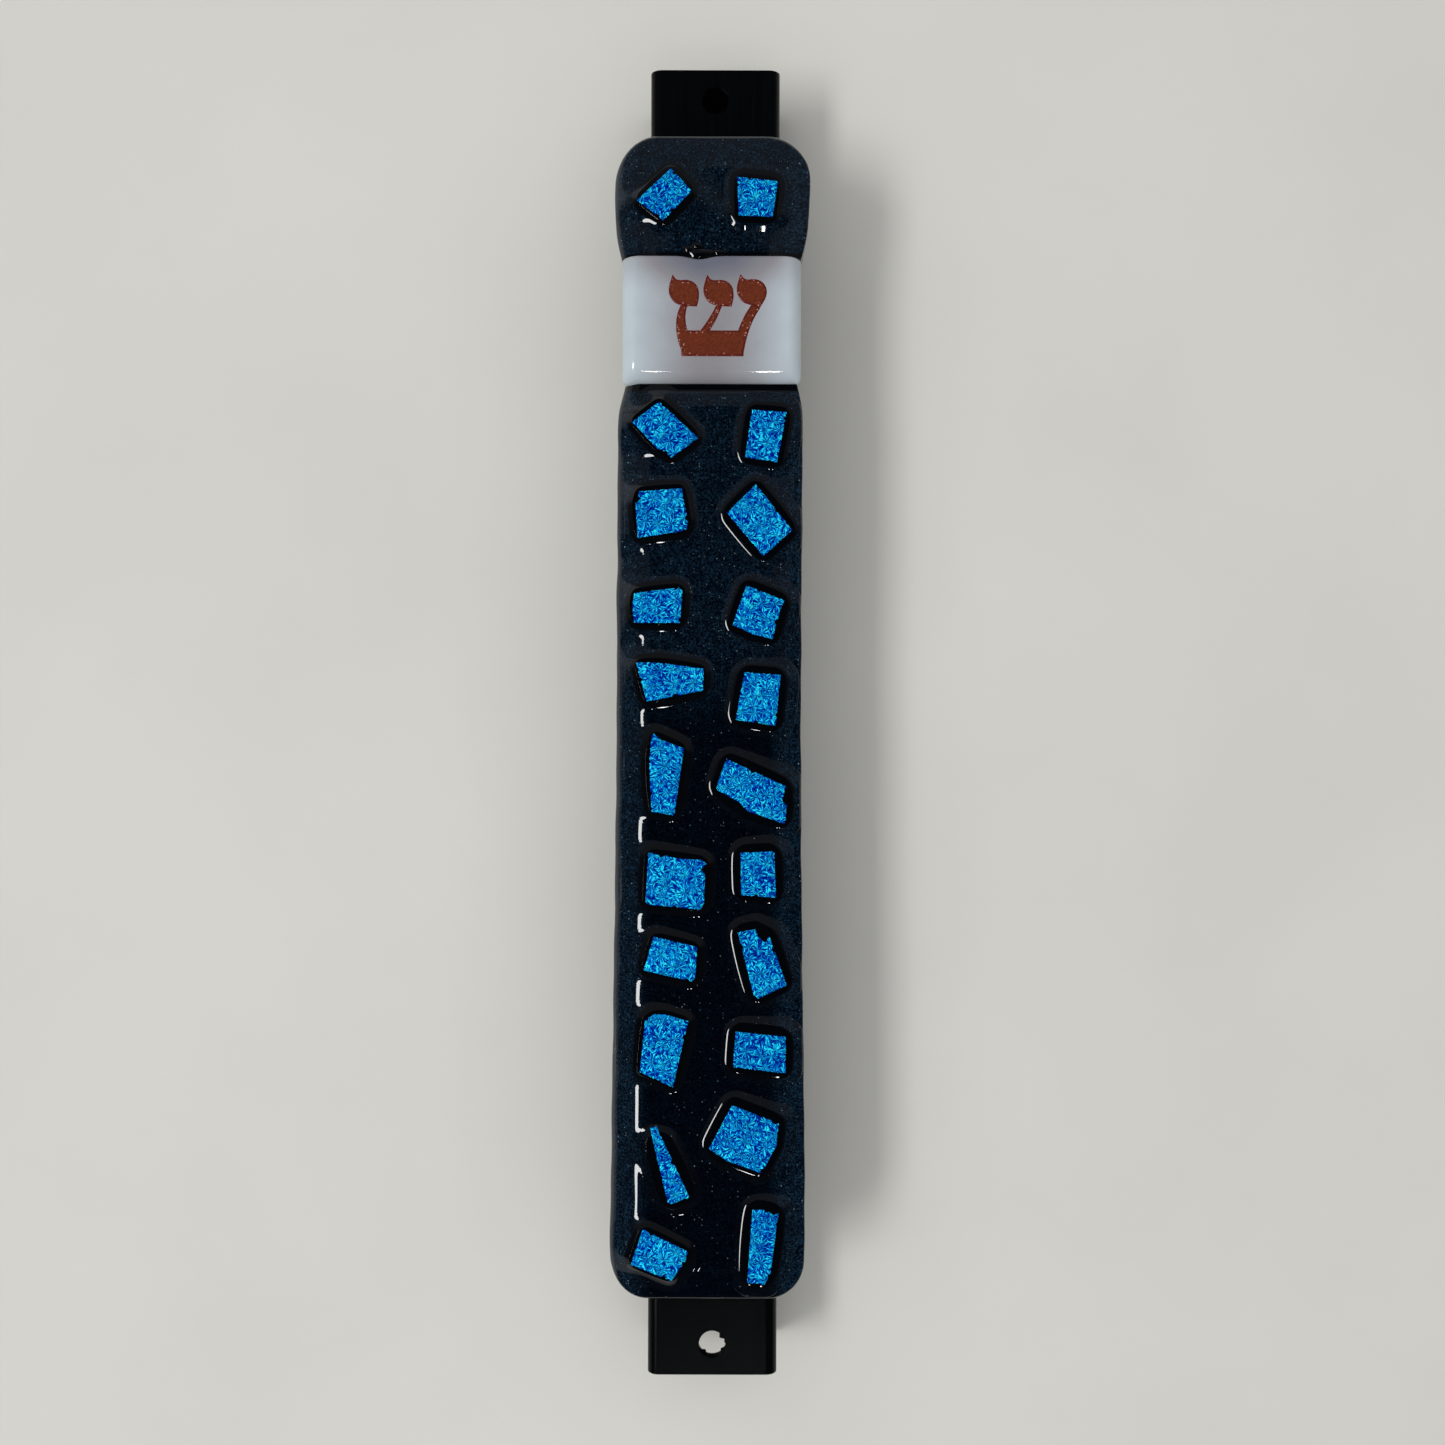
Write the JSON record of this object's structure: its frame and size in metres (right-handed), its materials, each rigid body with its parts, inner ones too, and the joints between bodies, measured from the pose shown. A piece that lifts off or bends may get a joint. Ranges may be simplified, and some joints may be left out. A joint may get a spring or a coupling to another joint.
{
  "type": "mezuzah case",
  "caption": "Slim wall-mounted scroll case: fused dark glass with raised blue dichroic chips and a white lettered band, on a black U-channel with a screw hole near each end.",
  "frame": {"origin": "midway between the two screw holes, in the plane that lies against the doorpost; the bottom centre of the box to within half a millimetre, because the glass is bonded slightly off centre", "axes": "+Z out of the glass face, +Y along the case to the end with the letter band (its top), +X to the viewer's right as seen from the front"},
  "size_m": [0.0235, 0.1598, 0.0212],
  "materials": {
    "channel_plastic": "satin black, sawn ends",
    "tape_black": "matt black foam tape",
    "dark_glass": "fire-polished navy aventurine glass, opaque",
    "opal_glass": "fire-polished white opal glass",
    "chip_glass": "fire-polished black glass, opaque",
    "dichroic_coat": "crinkled blue dichroic film",
    "letter_enamel": "red-brown fired enamel",
    "clear_sleeve": "clear plastic tube",
    "parchment": "rolled cream parchment"
  },
  "bodies": {
    "case": {"back_channel": "channel_plastic", "bonding_tape": "tape_black", "base_glass": "dark_glass", "lower_cap_glass": "dark_glass", "upper_cap_glass": "dark_glass", "white_band": "opal_glass", "shin_letter": "letter_enamel", "chip_upper_left": "chip_glass", "chip_upper_right": "chip_glass", "chip_left_1": "chip_glass", "chip_left_2": "chip_glass", "chip_left_3": "chip_glass", "chip_left_4": "chip_glass", "chip_left_5": "chip_glass", "chip_left_6": "chip_glass", "chip_left_7": "chip_glass", "chip_left_8": "chip_glass", "chip_left_9": "chip_glass", "chip_left_10": "chip_glass", "chip_right_1": "chip_glass", "chip_right_2": "chip_glass", "chip_right_3": "chip_glass", "chip_right_4": "chip_glass", "chip_right_5": "chip_glass", "chip_right_6": "chip_glass", "chip_right_7": "chip_glass", "chip_right_8": "chip_glass", "chip_right_9": "chip_glass", "chip_right_10": "chip_glass", "coat_upper_left": "dichroic_coat", "coat_upper_right": "dichroic_coat", "coat_left_1": "dichroic_coat", "coat_left_2": "dichroic_coat", "coat_left_3": "dichroic_coat", "coat_left_4": "dichroic_coat", "coat_left_5": "dichroic_coat", "coat_left_6": "dichroic_coat", "coat_left_7": "dichroic_coat", "coat_left_8": "dichroic_coat", "coat_left_9": "dichroic_coat", "coat_left_10": "dichroic_coat", "coat_right_1": "dichroic_coat", "coat_right_2": "dichroic_coat", "coat_right_3": "dichroic_coat", "coat_right_4": "dichroic_coat", "coat_right_5": "dichroic_coat", "coat_right_6": "dichroic_coat", "coat_right_7": "dichroic_coat", "coat_right_8": "dichroic_coat", "coat_right_9": "dichroic_coat", "coat_right_10": "dichroic_coat"},
    "sleeve": {"scroll_sleeve": "clear_sleeve"},
    "parchment": {"parchment_scroll": "parchment"}
  },
  "joints": [
    {"name": "sleeve_slide", "type": "slide", "parent": "case", "child": "sleeve", "axis": [0, 1, 0], "range_m": [-0.137, 0.018]},
    {"name": "parchment_slide", "type": "slide", "parent": "sleeve", "child": "parchment", "axis": [0, 1, 0], "range_m": [-0.107, 0.01]}
  ]
}
